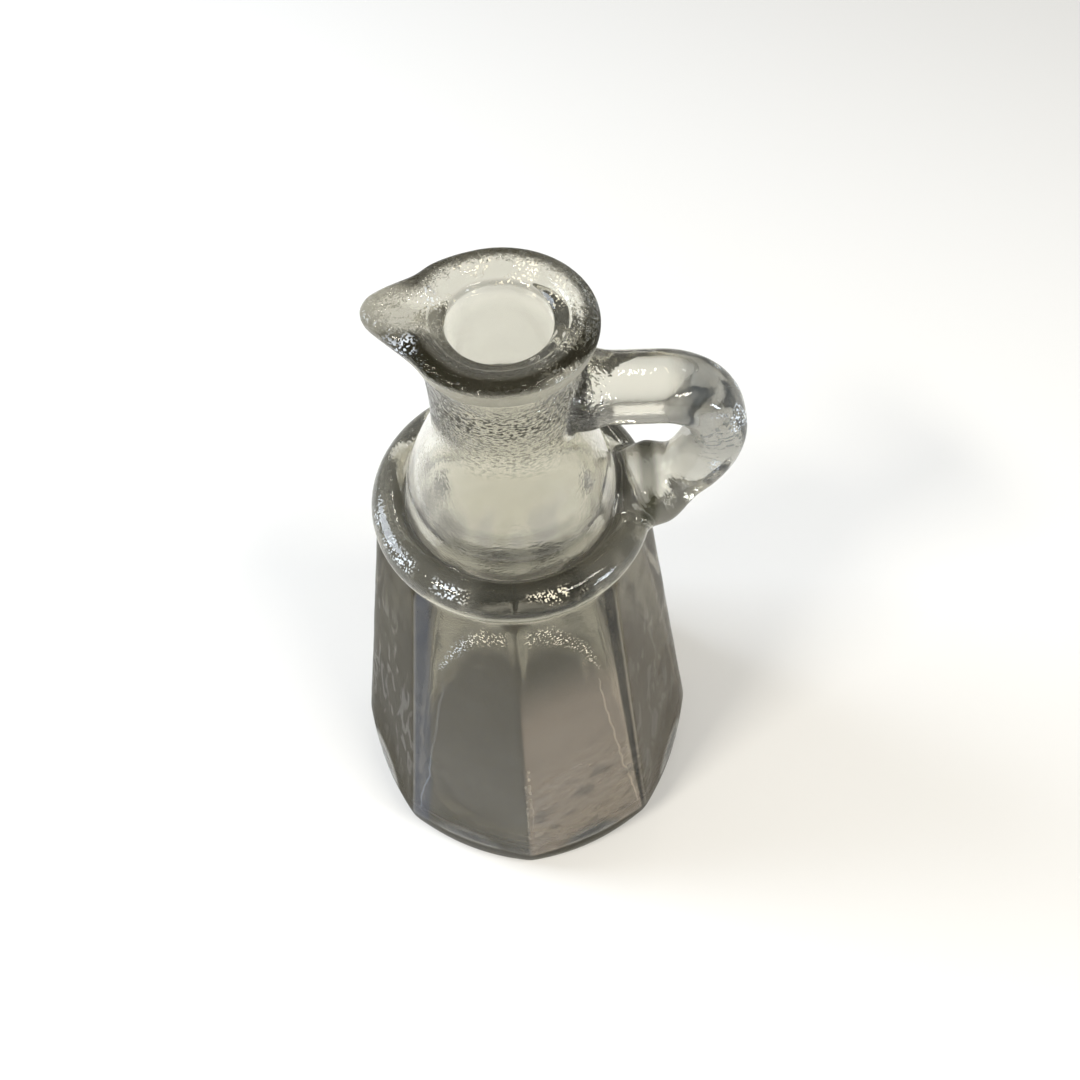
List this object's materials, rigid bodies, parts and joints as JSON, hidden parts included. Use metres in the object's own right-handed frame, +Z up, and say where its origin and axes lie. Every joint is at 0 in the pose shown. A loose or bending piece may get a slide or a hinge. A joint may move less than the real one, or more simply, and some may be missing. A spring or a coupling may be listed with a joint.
{
  "type": "milk pitcher",
  "caption": "Small clear pressed-glass pitcher with a flat-panelled flaring body, bead collar, narrow neck, pouring lip and ear-shaped handle; open at the top and empty.",
  "frame": {"origin": "centre of the flat underside, on the axis of the body", "axes": "+Z up along the axis of the body and neck, +X towards the handle, -X towards the pouring lip"},
  "size_m": [0.0746, 0.0746, 0.1406],
  "materials": {
    "pressed_glass": "clear pressed glass, fire-polished and slightly wavy, with a faint warm grey cast and orange-peel texture on the neck"
  },
  "bodies": {
    "root": {"pitcher": "pressed_glass"}
  },
  "joints": []
}
